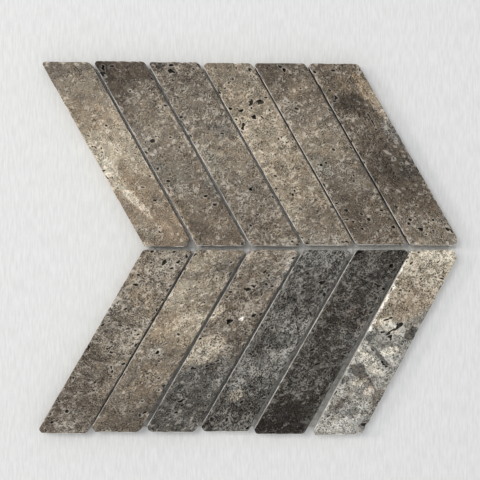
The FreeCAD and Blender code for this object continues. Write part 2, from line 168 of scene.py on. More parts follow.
STONES["upper_stone_5"] = Stone(
    pits=3.5, level=0.88, grain=0.64, thread=0.38, bed=30, dust=0.15,
    grades=[(0, BARK), (10, EARTH), (30, DRAB), (50, FAWN), (65, TAUPE), (80, EARTH), (100, EARTH)],
    patches=[
        (UMBER, 20, 7, 8.7, 10.1, 0.6), (SAND, 57, 40, 13, 14.5, 0.4), (SAGE, 17, 56, 7.2, 8.7, 0.5),
        (BARK, 66, 70, 6.5, 5.8, 0.75), (EARTH, 68, 57, 8.7, 8, 0.75), (UMBER, 22, 78, 8.7, 7.2, 0.4),
        (EARTH, 74, 89, 7.2, 8.7, 0.35), (SAND, 55, 15, 7.2, 5.8, 0.6), (BARK, 94, 59, 4.3, 11.6, 0.75),
        (BARK, 29, 84, 10.1, 11.6, 0.3), (BEIGE, 5, 37, 4.3, 6.5, 0.6), (SAND, 81, 11, 5.1, 5.1, 0.7),
        (DRAB, 97, 93, 3.6, 5.1, 0.6),
    ],
    voids=[
        (49, 2, 2.5, 2.2), (53, 4, 2.9, 2.2, 60), (64, 14, 2.2, 1.4, 20), (40, 22, 1.8, 1.8),
        (32, 23, 2.2, 1.4), (34, 25, 2.5, 2.2), (86, 37, 1.4, 1.1), (19, 56, 2.2, 1.8), (31, 55, 1.4, 1.4),
        (71, 62, 2.2, 1.4, 60), (65, 65, 3.3, 1.8, 60), (4, 67, 4.3, 1.4, 90), (7, 77, 2.2, 1.4),
        (18, 81, 2.2, 1.8), (86, 81, 2.5, 2.2), (51, 86, 2.2, 1.8), (21, 87, 2.9, 1.4, 20),
        (10, 86, 2.2, 1.4), (35, 87, 1.8, 1.4), (29, 91, 2.2, 1.8), (91, 90, 3.3, 1.8, 30),
        (80, 83, 1.8, 1.4), (43, 83, 1.8, 1.4),
    ],
)
STONES["upper_stone_6"] = Stone(
    pits=3, level=0.87, grain=0.64, thread=0.35, bed=120, dust=0.15,
    grades=[
        (0, EARTH), (15, EARTH), (30, EARTH), (50, BARK), (62, UMBER), (75, EARTH), (90, DRAB),
        (100, DRAB),
    ],
    patches=[
        (TAN, 84, 14, 4.3, 11.6, 0.8), (OCHRE, 50, 12, 3.6, 5.8, 0.5), (UMBER, 64, 24, 6.5, 8.7, 0.6),
        (CHARCOAL, 97, 53, 4.3, 8, 0.5), (CHARCOAL, 34, 22, 9.4, 6.5, 0.7), (STEEL, 90, 37, 5.1, 9.4, 0.7),
        (UMBER, 46, 48, 8.7, 11.6, 0.5), (GRAPHITE, 69, 60, 11.6, 8.7, 0.55),
        (EARTH, 16, 53, 5.8, 21.7, 0.4), (FAWN, 57, 95, 11.6, 5.8, 0.4), (OATMEAL, 92, 21, 4.3, 10.8, 0.7),
        (BEIGE, 38, 103, 13, 7.2, 0.8), (UMBER, 8, 77, 4.3, 5.8, 0.6), (UMBER, 19, 56, 5.1, 5.8, 0.6),
        (BEIGE, -2, 9, 2.9, 5.8, 0.7),
    ],
    voids=[
        (43, 4, 2.5, 2.2), (6, 5, 2.2, 1.4), (15, 15, 1.8, 1.4), (18, 19, 3.6, 2.2, 60),
        (14, 21, 2.5, 1.8), (63, 32, 15.2, 1.3, 88), (35, 35, 1.4, 1.1), (20, 88, 3.6, 1.8, 30),
        (28, 86, 2.2, 1.4), (60, 87, 2.2, 1.8), (73, 86, 2.2, 1.4, 30), (91, 91, 2.9, 2.2, 60),
        (96, 92, 3.6, 1.8, 90), (40, 91, 2.9, 2.2, 20), (61, 92, 1.8, 1.4), (43, 94, 1.8, 1.4),
        (96, 66, 2.9, 1.4, 90), (7, 86, 1.8, 1.1, 30),
    ],
)
STONES["lower_stone_1"] = Stone(
    pits=7, level=0.94, grain=0.95, thread=0.48, bed=150, dust=0.1,
    grades=[(0, DRAB), (10, DRAB), (25, TAUPE), (50, TAUPE), (75, BARK), (100, BARK)],
    patches=[
        (ASH, 62, 7, 11.6, 8.7, 0.3), (OCHRE, 16, 12, 5.1, 10.1, 0.35),
        (OCHRE, 45, 23, 18.8, 6.5, 0.45, 146), (SLATE, 15, 39, 5.8, 8.7, 0.4),
        (FAWN, 98, 64, 5.1, 13, 0.5), (BARK, 39, 82, 14.5, 8.7, 0.4), (PEWTER, 60, 90, 8.7, 5.8, 0.3),
        (SAND, 88, 28, 5.8, 9.4, 0.7), (FAWN, 75, 37, 4.3, 4.3, 0.6), (UMBER, 13, 55, 5.1, 8, 0.5),
        (BEIGE, 89, 50, 4.3, 8.7, 0.6), (ASH, 53, 97, 6.5, 4.3, 0.6), (SILVER, 4, 29, 4.3, 8.7, 0.5),
        (FAWN, 80, 78, 5.1, 5.8, 0.5), (EARTH, 32, 15.5, 8, 5.8, 0.65), (BARK, 33, 43, 5.8, 5.8, 0.6),
        (BEIGE, 100, 38, 3.6, 5.8, 0.6),
    ],
    voids=[
        (25, 19, 4.3, 1.4), (63, 43, 3.6, 1.4), (79, 44, 2.5, 1.4), (77, 46, 2.9, 1.8), (89, 46, 2.2, 1.4),
        (44, 50, 2.2, 1.4), (48, 53, 2.9, 1.4, 60), (62, 52, 2.2, 1.1, 30), (57, 56, 2.9, 1.1),
        (73, 64, 4.3, 1.4, 130), (79, 66, 2.9, 1.4, 130), (83, 69, 2.2, 1.4), (92, 62, 2.2, 1.4),
        (11, 70, 4.3, 1.4, 120), (36, 88, 3.6, 2.2, 130), (27, 93, 2.9, 2.2, 60), (41, 95, 2.9, 1.8, 30),
        (19, 94, 2.9, 1.4), (7, 90, 2.2, 2.2), (61, 3, 2.2, 1.4), (41, 4, 2.2, 1.4), (84, 7, 2.2, 1.8),
        (56, 7, 2.9, 2.2), (78, 10, 2.2, 1.4), (32, 7, 2.2, 1.4), (23, 1, 3.6, 1.4), (11, 37, 2.2, 1.4),
        (8, 41, 2.2, 1.4),
    ],
)
STONES["lower_stone_2"] = Stone(
    pits=2, level=0.92, grain=0.62, thread=0.32, bed=30, dust=0.1,
    grades=[(0, FAWN), (15, DRAB), (30, BEIGE), (50, SAND), (60, DRAB), (80, TAUPE), (100, BARK)],
    patches=[
        (OATMEAL, 15, 7, 6.5, 6.5, 0.6), (SLATE, 77, 9, 7.2, 5.1, 0.55), (CREAM, 21, 26, 6.5, 10.1, 0.6),
        (CREAM, 62, 22, 6.5, 4.3, 0.5), (EARTH, 92, 29.5, 5.8, 6.5, 0.75),
        (OATMEAL, 65, 38, 10.1, 7.2, 0.6), (TAN, 27, 42, 6.5, 10.1, 0.5), (CHALK, 44, 57, 5.8, 3.6, 0.6),
        (OCHRE, 58, 71, 11.6, 11.6, 0.5), (EARTH, 60, 73, 5.1, 5.1, 0.6), (EARTH, 25, 87, 7.2, 8.7, 0.3),
        (GRAPHITE, 80, 89, 5.1, 5.1, 0.55), (TAN, 93, 78, 2.2, 2.9, 0.6), (BARK, 47, 97, 10.8, 4.3, 0.4),
        (CREAM, 95, 43, 3.6, 7.2, 0.8), (DRAB, 34, 61, 5.8, 4.3, 0.6), (CLAY, 18, 37, 5.8, 5.8, 0.6),
        (OATMEAL, 88, 48, 5.8, 7.2, 0.6), (FAWN, 5, 66, 3.6, 5.8, 0.6), (FAWN, 6, 94, 4.3, 5.8, 0.6),
        (OATMEAL, 25, 5, 8.7, 5.1, 0.5), (CREAM, 10, 20, 4.3, 5.8, 0.6), (SAND, 27, 75, 5.1, 5.8, 0.6),
        (GRAPHITE, 99, 11, 4.3, 5.8, 0.5), (OATMEAL, 42, 19, 5.1, 4.3, 0.5),
        (CREAM, 99, 36, 3.6, 4.3, 0.6),
    ],
    voids=[
        (85, 7, 2.2, 1.4), (98, 30, 2.2, 1.4, 60), (44, 56, 2.9, 1.4, 150), (32, 59, 2.2, 1.1),
        (57, 61, 2.2, 1.1), (71, 83, 2.2, 1.4), (88, 89, 2.2, 1.4), (91, 77, 2.2, 1.4),
    ],
)
STONES["lower_stone_3"] = Stone(
    pits=7, level=0.91, grain=1, thread=0.52, bed=20, dust=0.1,
    grades=[
        (0, DRAB), (10, TAUPE), (30, EARTH), (50, TAUPE), (70, SLATE), (85, GRAPHITE), (100, GRAPHITE),
    ],
    patches=[
        (SAND, 35, 3, 10.1, 4.3, 0.6), (SILVER, 96, 13, 4.3, 8.7, 0.7), (SLATE, 65, 16, 5.8, 6.5, 0.4),
        (CREAM, 7, 34.5, 4.3, 5.8, 0.8), (BARK, 54, 47, 8.7, 5.8, 0.4), (BEIGE, 24, 54.5, 14.5, 13, 0.93),
        (PEWTER, 84, 74, 3.6, 5.8, 0.4), (PEWTER, 1, 71, 3.6, 5.1, 0.6), (EARTH, 14, 44.5, 5.1, 4.3, 0.7),
        (GRAPHITE, 88, 62, 4.3, 5.8, 0.6), (GRAPHITE, 70, 20, 5.8, 5.8, 0.7),
        (BARK, 46, 22, 5.1, 4.3, 0.5), (UMBER, 60, 23, 4.3, 4.3, 0.5), (UMBER, 76, 48, 6.5, 8, 0.7),
        (CHARCOAL, 60, 66, 6.5, 5.8, 0.7), (GRAPHITE, 30, 76, 10.1, 10.1, 0.4),
        (SLATE, 62, 91, 11.6, 8.7, 0.5), (WHITE, 62, 37.5, 2.2, 1.1, 1, 40),
        (WHITE, 65, 38.5, 0.9, 1.4, 1),
    ],
    voids=[
        (55, 12, 2.9, 1.4, 60), (59, 10, 2.9, 1.1), (67, 14, 2.9, 1.1, 120), (73, 19, 3.6, 1.4, 150),
        (85, 20, 3.6, 1.1), (42, 22, 3.6, 2.9), (50, 20, 2.9, 2.2), (11, 23, 2.2, 1.4), (9, 26, 1.8, 1.4),
        (42, 39, 3.6, 3.6), (83, 36, 2.9, 2.2), (63, 61, 3.6, 2.2, 10), (25, 65, 5.8, 1.2, 175),
        (48, 64, 5.8, 1.2, 25), (30, 80, 5.1, 1.3, 150), (42, 82, 3.6, 1.1), (24, 77, 2.9, 1.1, 20),
        (1, 84, 5.8, 2.2, 5), (21, 85, 6.5, 1.4), (38, 83, 3.6, 1.4, 20), (87, 80, 2.2, 1.1, 120),
        (41, 89, 2.2, 1.4),
    ],
)
STONES["lower_stone_4"] = Stone(
    pits=9, level=0.69, grain=1.6, thread=0.6, bed=60, dust=1,
    grades=[
        (0, SLATE), (10, SLATE), (25, GRAPHITE), (40, GRAPHITE), (60, SLATE), (75, SLATE), (90, GRAPHITE),
        (100, GRAPHITE),
    ],
    patches=[
        (ASH, 73, 57, 8.7, 11.6, 0.5), (PEWTER, 31, 39, 10.1, 7.2, 0.4), (SILVER, 87, 56, 3.6, 4.3, 0.5),
        (SILVER, 19, 76, 5.8, 6.5, 0.7), (SILVER, 30, 89, 2.9, 2.2, 0.8),
        (GRAPHITE, 64, 28, 10.8, 8.7, 0.35), (CHARCOAL, 60, 15, 9.4, 10.1, 0.7),
        (CHARCOAL, 93, 24, 4.3, 6.5, 0.5), (SILVER, 95, 43, 4.3, 7.2, 0.8),
        (PEWTER, 15, 32, 4.3, 5.1, 0.5), (COAL, 10, 98, 5.8, 5.1, 0.5), (GRAPHITE, 89, 83, 4.3, 13, 0.4),
        (PEWTER, 34, 63, 8.7, 5.8, 0.4), (SILVER, 57, 67, 4.3, 4.3, 0.6), (SILVER, 69, 43, 4.3, 4.3, 0.5),
        (BEIGE, 36, 80, 4.3, 4.3, 0.92), (CHARCOAL, 22, 50, 5.8, 5.8, 0.6),
        (CHARCOAL, 74, 86, 6.5, 8.7, 0.5), (ASH, 48, 46, 5.1, 5.1, 0.5),
    ],
    voids=[
        (77, 18, 5.8, 2.9), (49, 21, 5.1, 1.4, 15), (92, 24, 4.3, 1.4, 120), (36, 13, 1.8, 1.4),
        (28, 43, 2.9, 1.8), (37, 35, 3.6, 1.4, 130), (54, 26, 2.2, 1.4), (13, 93, 3.3, 2.2, 140),
        (44, 93, 5.8, 1.8, 110), (96, 98, 2.9, 2.2, 60), (71, 85, 2.2, 1.4, 120), (82, 90, 2.2, 1.1, 110),
        (91, 82, 2.2, 1.4), (53, 84, 2.2, 2.2, 90), (13, 57, 2.2, 1.4), (63, 57, 2.2, 1.4),
        (46, 53, 2.2, 1.1), (20, 67, 2.2, 1.4), (2, 45, 2.2, 1.4),
    ],
)
STONES["lower_stone_5"] = Stone(
    pits=9, level=0.6, grain=1.7, thread=0.5, bed=150, dust=1,
    grades=[
        (0, CHARCOAL), (10, GRAPHITE), (25, CHARCOAL), (45, CHARCOAL), (60, GRAPHITE), (80, CHARCOAL),
        (100, COAL),
    ],
    patches=[
        (SOOT, 11, 2, 5.1, 4.3, 0.5), (SLATE, 34, 9, 8.7, 5.8, 0.35), (UMBER, 35, 22, 7.2, 7.2, 0.4),
        (RUST, 58, 33, 4.3, 4.3, 0.4), (SLATE, 69, 56, 10.1, 10.1, 0.3), (SOOT, 48, 90, 15.9, 10.1, 0.5),
        (UMBER, 44, 79, 5.8, 4.3, 0.3), (SLATE, 8, 45, 2.9, 10.1, 0.4), (SOOT, 65, 15, 9.4, 6.5, 0.7),
        (SOOT, 24, 65, 5.8, 8.7, 0.4), (COAL, 42, 29, 6.5, 5.1, 0.6), (SLATE, 95, 3, 2.9, 3.6, 0.6),
        (PEWTER, 97, 45, 4.3, 14.5, 0.7), (STEEL, 87, 50, 5.1, 6.5, 0.6), (SLATE, 54, 44, 5.8, 5.8, 0.7),
        (COAL, 19, 54, 5.1, 5.1, 0.5),
    ],
    voids=[
        (9, 1, 5.1, 3.6, 30), (44, 15, 11.6, 1.3, 160), (77, 19, 8.7, 1.6, 155), (92, 21, 4.3, 1.6, 160),
        (84, 9, 2.9, 2.9), (68, 6, 2.2, 1.4), (3, 7, 2.2, 1.4), (20, 25, 2.2, 1.4), (3, 32, 2.9, 1.4, 90),
        (53, 39, 1.8, 1.8), (61, 44, 2.5, 1.8, 140), (24, 54, 3.6, 1.8, 20), (29, 56, 2.9, 1.4, 60),
        (49, 62, 2.2, 2.2), (65, 59, 2.2, 1.1, 140), (79, 62, 2.9, 1.4), (73, 66, 3.6, 1.4, 130),
        (83, 68, 2.9, 1.4, 130), (42, 48, 1.8, 1.4), (76, 52, 2.2, 1.4), (90, 56, 2.2, 1.4),
        (85, 44, 2.2, 1.4), (93, 34, 2.2, 2.2), (6, 44, 2.2, 1.4), (90, 26, 2.9, 1.4, 90),
    ],
)
STONES["lower_stone_6"] = Stone(
    pits=6, level=0.93, grain=0.76, thread=0.6, bed=130, dust=1,
    grades=[
        (0, BEIGE), (15, BEIGE), (24, SAND), (36, FAWN), (40, ASH), (60, SILVER), (75, ASH), (90, SILVER),
        (100, ASH),
    ],
    patches=[
        (IVORY, 60, 2, 13, 5.1, 0.75), (CLAY, 60, 28, 13, 8.7, 0.8), (WHITE, -4, 26, 4, 37.5, 0.9),
        (PEWTER, 84, 73, 5.1, 4.3, 0.5), (IVORY, 36, 40.5, 10.8, 2.9, 0.93, 150),
        (PEWTER, 35, 45, 3.6, 2.9, 0.5), (SLATE, 12, 46, 3.9, 4, 0.93), (GRAPHITE, 89, 45, 5.1, 5.1, 0.92),
        (PEWTER, 45, 50, 5.1, 4.3, 0.6), (IVORY, 66, 54, 5.8, 3.6, 0.93),
        (IVORY, 38, 60.5, 17.4, 3.1, 0.93, 144), (GRAPHITE, 50, 57, 16, 1.3, 0.92, 144),
        (BARK, 40, 68, 15.9, 2.7, 0.93, 146), (SLATE, 10, 71, 3.3, 5.1, 0.7),
        (CREAM, 38, 71, 5.1, 2.9, 0.7), (ROSE, 62, 76, 5.1, 3.6, 0.6), (EARTH, 90, 80, 5.1, 8, 0.92),
        (BARK, 18, 83, 5.1, 5.1, 0.92), (CHALK, 55, 85, 5.8, 3.6, 0.6), (CHALK, 10, 77, 2.9, 5.8, 0.6),
        (SLATE, 60, 87, 5.8, 2.9, 0.6), (CHALK, 40, 95, 11.6, 4.3, 0.6), (GRAPHITE, 95, 94, 3.3, 3.6, 0.7),
        (SLATE, 20, 64, 5.1, 4, 0.92), (PEWTER, 14, 99, 5.8, 4.3, 0.6), (TAUPE, 31, 75, 4.3, 3.6, 0.6),
        (TAUPE, 76, 38.5, 5.1, 3.6, 0.7), (TAUPE, 97, 87, 3.6, 5.8, 0.7), (ASH, 56, 99, 5.8, 4.3, 0.7),
    ],
    voids=[
        (0, 4, 3.6, 2.9, 90), (27, 0, 3.6, 2.2), (88, 15, 7.2, 0.9, 165), (26, 37, 5.1, 2.2, 20),
        (55, 41, 4.3, 4, 60), (47, 43, 4.3, 1.4, 35), (29, 44, 2.2, 2.2), (52, 47, 4.3, 2.9, 110),
        (85, 34, 1.8, 1.4), (30, 53.5, 9.4, 1.4, 144), (66, 61, 9.4, 1.4, 144), (-1, 60, 3.6, 1.4, 150),
        (97, 77, 2.2, 1.4), (95, 82, 2.9, 1.8, 110), (95, 94, 4.3, 3.3), (45, 90, 2.5, 1.4),
        (9, 91, 2.2, 1.4), (45, 14, 1.8, 1.4), (14, 52, 2.2, 1.4), (78, 70, 2.9, 1.1, 140),
    ],
)

# How tumbling wore the stones: the radius of the arris round the face and round the back, how far the face
# lies under the CAD's, as a rule and at least, and how far the walls lie inside the CAD's at least
FACE_ARRIS, BACK_ARRIS = 0.75, 0.6
FACE_DROP, LEAST_DROP = 0.28, 0.03
LEAST_WEAR = 0.02
# The open voids: how far under the face their middles lie, the depth of the deepest, how far the pale
# crust and painted highlight round them reach, how many bites are on a stone's arrises and how many voids in
# its walls
VOID_DROP, DEEPEST_VOID = 0.25, 2.6
CRUST_AND_HIGHLIGHT_REACH = 0.7
ARRIS_BITES, WALL_VOIDS = 40, 60
# The colours: how much of its own hue a patch brings, the strengths from which its rim is sharp and
# even, and how much longer the texture is along the bed
HUE_KEPT = 0.6
SHARP, EVEN = 0.8, 0.9
BED_STRETCH = 1.25
# The room left round a stone on its lattice, and how far the floor lies under the part
MARGIN = 1.6
FLOOR_DROP = 0.2


def linear(rgb):
    """An sRGB colour of 0 to 255 as linear light."""
    c = np.asarray(rgb, float) / 255
    return np.where(c <= 0.04045, c / 12.92, ((c + 0.055) / 1.055) ** 2.4)


def lattice_noise(shape, blob, rng):
    """Noise of unit spread on a lattice, in blobs about so many cells across."""
    spectrum = np.fft.rfftn(rng.standard_normal(shape))
    square = 0
    for axis, count in enumerate(shape):
        last = axis == len(shape) - 1
        frequency = np.fft.rfftfreq(count) if last else np.fft.fftfreq(count)
        square = square + (frequency ** 2).reshape([-1 if n == axis else 1 for n in range(len(shape))])
    field = np.fft.irfftn(spectrum * np.exp(-2 * (math.pi * blob / 2.5) ** 2 * square), shape)
    return field / field.std()


def meet(one, two):
    """Where two lines of the plane meet, each given as a unit normal and an offset."""
    return np.linalg.solve(np.array([one[0], two[0]]), np.array([one[1], two[1]]))


class Outline:
    """A CAD stone's four sawn sides, seen from above, with the radius of each upright corner."""

    def __init__(self, name):
        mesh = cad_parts[name].data
        points = np.array([v.co for v in mesh.vertices]) / MM
        self.low, self.high = points[:, 2].min(), points[:, 2].max()
        areas = {}
        for face in mesh.polygons:
            if abs(face.normal.z) < 0.01:
                key = tuple(np.round(face.normal[:2], 2))
                areas.setdefault(key, []).append(face)
        sides = sorted(areas.values(), key=lambda faces: -sum(f.area for f in faces))[:4]
        lines = []
        for faces in sides:
            normal = sum((np.array(f.normal[:2]) * f.area for f in faces))
            normal = normal / np.linalg.norm(normal)
            corner = points[faces[0].vertices[0]][:2]
            lines.append((normal, normal @ corner))
        self.top = max(lines, key=lambda line: line[0][1])
        self.bottom = min(lines, key=lambda line: line[0][1])
        self.right = max(lines, key=lambda line: line[0][0] if line is not self.top else -1)
        self.left = min(lines, key=lambda line: line[0][0] if line is not self.bottom else 1)
        self.top_left, self.top_right = meet(self.top, self.left), meet(self.top, self.right)
        self.bottom_left, self.bottom_right = meet(self.bottom, self.left), meet(self.bottom, self.right)
        self.corners = []
        for one, two in (
            (self.top, self.left), (self.top, self.right),
            (self.bottom, self.right), (self.bottom, self.left),
        ):
            tip = meet(one, two)
            half_angle = (math.pi - math.acos(float(one[0] @ two[0]))) / 2
            reach = np.linalg.norm(points[:, :2] - tip, axis=1).min()
            self.corners.append((one, two, reach / (1 / math.sin(half_angle) - 1)))
        self.width = np.linalg.norm(self.top_right - self.top_left)
        self.height = self.top_left[1] - self.bottom_left[1]
        self.lean = (self.top_left - self.bottom_left) / np.linalg.norm(self.top_left - self.bottom_left)

    def side_distance(self, x, y, sides=None):
        """How far outside the outline, or only some of its sides, each place is, below zero inside."""
        if sides:
            return np.max([n[0] * x + n[1] * y - d for n, d in sides], axis=0)
        distance = self.side_distance(x, y, (self.left, self.right, self.top, self.bottom))
        for (n1, d1), (n2, d2), radius in self.corners:
            centre = meet((n1, d1 - radius), (n2, d2 - radius))
            dx, dy = x - centre[0], y - centre[1]
            along_one, along_two = np.linalg.solve(np.array([n1, n2]).T, np.array([dx.ravel(), dy.ravel()]))
            beyond = ((along_one > 0) & (along_two > 0)).reshape(x.shape)
            distance = np.where(beyond, np.hypot(dx, dy) - radius, distance)
        return distance

    def shares(self, x, y):
        """Places as shares of the stone: across from its left edge and down from its top edge."""
        down = (self.top_left[1] - y) / self.height
        left = self.top_left[0] + (self.bottom_left[0] - self.top_left[0]) * down
        right = self.top_right[0] + (self.bottom_right[0] - self.top_right[0]) * down
        return (x - left) / (right - left), down


class Block:
    """The lattice that one stone is carved on. Its rows follow the stone's lean."""

    def __init__(self, outline, seed):
        self.outline = outline
        self.rng = np.random.default_rng(seed)
        across = int((outline.width + 2 * MARGIN) / CELL) + 2
        along = int((np.linalg.norm(outline.top_left - outline.bottom_left) + 2 * MARGIN) / CELL) + 2
        levels = int((outline.high - outline.low + MARGIN) / CELL) + 2
        self.shape = (across, along, levels)
        self.step_across = np.array([CELL, 0.0])
        self.step_along = outline.lean * CELL
        self.corner = outline.bottom_left - MARGIN * (np.array([1.0, 0.0]) + outline.lean)
        i, j = np.meshgrid(np.arange(across), np.arange(along), indexing="ij")
        self.x = self.corner[0] + i * self.step_across[0] + j * self.step_along[0]
        self.y = self.corner[1] + i * self.step_across[1] + j * self.step_along[1]
        self.z = outline.low + (np.arange(levels) - 0.5) * CELL
        self.across, self.down = outline.shares(self.x, self.y)

    def flat_noise(self, size):
        """Noise over the face, in blobs about so many millimetres across."""
        return lattice_noise(self.shape[:2], size / CELL, self.rng)

    def deep_noise(self, size):
        return lattice_noise(self.shape, size / CELL, self.rng)

    def offsets(self, across, down, angle):
        """Millimetres along and over a direction, from a place on the stone, with the lean taken out."""
        dx = (self.across - across) * self.outline.width
        dy = (down - self.down) * self.outline.height
        turn = math.radians(angle)
        return dx * math.cos(turn) + dy * math.sin(turn), dy * math.cos(turn) - dx * math.sin(turn)

    def raise_body(self):
        """The tumbled slab: worn sides and arrises, a gently uneven face and rough walls."""
        outline = self.outline
        side = outline.side_distance(self.x, self.y)
        # The arrises are rubbed pale all round, and a painted highlight makes them palest along the left and
        # the bottom.
        painted_highlight_sides = outline.side_distance(self.x, self.y, (outline.left, outline.bottom))
        self.edge = np.clip(1 + np.maximum(painted_highlight_sides, side - 0.6) / (FACE_ARRIS + 0.3), 0, 1)
        worn = 0.05 + 0.06 * self.flat_noise(14) + 0.05 * self.flat_noise(4)
        arris = np.clip(FACE_ARRIS * (1 + 0.35 * self.flat_noise(9)), 0.6, 2.2)[:, :, None]
        face = 0.10 * self.flat_noise(22) + 0.07 * self.flat_noise(6) + 0.05 * self.flat_noise(2.2)
        top = self.z - outline.high + np.maximum(FACE_DROP + face, LEAST_DROP)[:, :, None]
        foot = np.maximum(0, BACK_ARRIS - (self.z - outline.low))
        rough = worn[:, :, None] + 0.07 * self.deep_noise(3.0) + 0.05 * self.deep_noise(1.4)
        side = side[:, :, None] + foot + np.maximum(rough, LEAST_WEAR)
        over_side, over_top = side + arris, top + arris
        inside = np.minimum(np.maximum(over_side, over_top), 0)
        self.body = inside + np.hypot(np.maximum(over_side, 0), np.maximum(over_top, 0)) - arris
        self.field = self.body.copy()
        self.crust_and_highlight = np.zeros(self.shape)

    def carve(self, across, down, level, length, width, depth, angle):
        """Opens one void, an uneven lens round a place on or in the stone."""
        reach = max(length, width) / 2 + 2 * CELL
        along, over = self.offsets(across, down, angle)
        near = (np.abs(along) < reach) & (np.abs(over) < reach)
        i, j = np.nonzero(near.any(axis=1))[0], np.nonzero(near.any(axis=0))[0]
        if not len(i) or not len(j):
            return
        i, j = slice(i[0], i[-1] + 1), slice(j[0], j[-1] + 1)
        flat = (2 * along[i, j] / length) ** 2 + (2 * over[i, j] / width) ** 2
        lens = np.sqrt(flat[:, :, None] + ((self.z - level) / depth) ** 2)
        lens = lens * (1 + 0.20 * self.ragged[i, j]) + 0.12 * self.ragged[i, j]
        hollow = (1 - lens) * min(length, width, 2 * depth) / 2
        self.field[i, j] = np.maximum(self.field[i, j], hollow)
        self.crust_and_highlight[i, j] = np.maximum(self.crust_and_highlight[i, j], np.clip(1 + hollow / CRUST_AND_HIGHLIGHT_REACH, 0, 1))

    def place_on_rim(self):
        """A random place on the outline, mostly on the long sides."""
        across, down = self.rng.choice([0.0, 1.0]), self.rng.uniform(0, 1)
        if self.rng.random() < 0.2:
            across, down = self.rng.uniform(0, 1), self.rng.choice([0.0, 1.0])
        return across, down

    def open_voids(self, stone):
        """The voids chosen from the photo, then small pits in drifts, and bites along the arrises."""
        rng, outline = self.rng, self.outline
        self.ragged = self.deep_noise(1.6)
        level = outline.high - VOID_DROP
        for across, down, length, width, angle in (Void(*entry) for entry in stone.voids):
            across, down = across / 100, down / 100
            depth = min(DEEPEST_VOID, 0.6 + 0.75 * width)
            self.carve(across, down, level, 0.75 * length + 0.1, 0.8 * width + 0.1, depth, angle)
            turn = math.radians(angle)
            for end in (-1, 1):
                step = end * rng.uniform(0.25, 0.4) * length
                slip = rng.uniform(-0.25, 0.25) * width
                dx = step * math.cos(turn) - slip * math.sin(turn)
                dy = step * math.sin(turn) + slip * math.cos(turn)
                size = rng.uniform(0.5, 0.85) * width
                self.carve(
                    across + dx / outline.width, down - dy / outline.height, level,
                    size * rng.uniform(1.0, 1.6), size, 0.8 * size, angle + rng.uniform(-40, 40),
                )
        drift = self.flat_noise(16)
        for _ in range(int(stone.pits * outline.width * outline.height / 100)):
            across, down = rng.uniform(0, 1), rng.uniform(0, 1)
            size, stretch = rng.lognormal(-0.4, 0.35), rng.uniform(1, 2.2)
            angle = rng.normal(20, 40)
            i = int(across * (self.shape[0] - 1))
            j = int((1 - down) * (self.shape[1] - 1))
            if drift[i, j] > rng.normal(0, 0.7):
                self.carve(across, down, outline.high - 0.3, size * stretch, size, 0.55 * size + 0.1, angle)
        for _ in range(ARRIS_BITES):
            across, down = self.place_on_rim()
            size = rng.uniform(1.0, 2.6)
            self.carve(across, down, outline.high - 0.2, size * 1.6, size, size * 0.6, rng.choice([0, 90]))
        for _ in range(WALL_VOIDS):
            across, down = self.place_on_rim()
            size = rng.uniform(0.8, 2.4)
            level = rng.uniform(outline.low + 1, outline.high - 1.5)
            self.carve(across, down, level, size * rng.uniform(1, 2), size, size * 0.5, rng.choice([0, 90]))

    def paint(self, stone):
        """The stone's colour over its face: grades down its length, then patches with ragged edges."""
        downs = [down / 100 for down, _ in stone.grades]
        colours = np.array([linear(rgb) for _, rgb in stone.grades])
        wander = self.down + 0.035 * self.flat_noise(12) + 0.02 * self.flat_noise(4)
        tone = np.stack([np.interp(wander, downs, colours[:, c]) for c in range(3)], axis=-1)
        ragged = 0.15 * self.flat_noise(8) + 0.12 * self.flat_noise(3.5) + 0.12 * self.flat_noise(1.6)
        for patch in (Patch(*entry) for entry in stone.patches):
            along, over = self.offsets(patch.across / 100, patch.down / 100, patch.angle)
            far = np.hypot(along / patch.half_width, over / patch.half_height)
            far = far + ragged * (0.45 if patch.strength > EVEN else 1)
            soft = 0.16 if patch.strength > SHARP else 0.5
            mask = np.clip((1 + soft / 2 - far) / soft, 0, 1)
            mask = patch.strength * mask * mask * (3 - 2 * mask)
            own = linear(patch.rgb)
            same_hue = tone * (own.sum() / tone.sum(axis=2, keepdims=True))
            tone += (HUE_KEPT * own + (1 - HUE_KEPT) * same_hue - tone) * mask[:, :, None]
        return tone * stone.level

    def mesh(self, name, stone):
        """The carved stone as a closed mesh, with its colour and its hollows kept on the points."""
        points, quads = surface_nets(self.field)
        whole = np.minimum(points.astype(int), np.array(self.shape) - 2)
        part = points - whole
        corners = [(i, j, k) for i in (0, 1) for j in (0, 1) for k in (0, 1)]
        depth, crust_and_highlight, edge = np.zeros(len(points)), np.zeros(len(points)), np.zeros(len(points))
        for i, j, k in corners:
            weight = np.abs(1 - i - part[:, 0]) * np.abs(1 - j - part[:, 1]) * np.abs(1 - k - part[:, 2])
            at = (whole[:, 0] + i, whole[:, 1] + j, whole[:, 2] + k)
            depth -= weight * self.body[at]
            crust_and_highlight += weight * self.crust_and_highlight[at]
            edge += weight * self.edge[at[:2]]
        tone = self.paint(stone)
        colour = np.ones((len(points), 4))
        colour[:, :3] = 0
        for i, j in ((0, 0), (0, 1), (1, 0), (1, 1)):
            weight = np.abs(1 - i - part[:, 0]) * np.abs(1 - j - part[:, 1])
            colour[:, :3] += weight[:, None] * tone[whole[:, 0] + i, whole[:, 1] + j]
        places = np.empty((len(points), 3))
        places[:, :2] = self.corner + points[:, :1] * self.step_across + points[:, 1:2] * self.step_along
        places[:, 2] = self.z[0] + points[:, 2] * CELL
        lowest = points[:, 2] < 1
        places[lowest, 2] = self.outline.low
        mesh = bpy.data.meshes.new(name)
        mesh.from_pydata(places * MM, [], quads)
        mesh.attributes.new("tone", "FLOAT_COLOR", "POINT").data.foreach_set("color", colour.ravel())
        for key, values in (("hollow", np.clip(depth, 0, None)), ("crust_and_highlight", crust_and_highlight), ("edge", edge)):
            mesh.attributes.new(key, "FLOAT", "POINT").data.foreach_set("value", values)
        close_back(mesh)
        return mesh


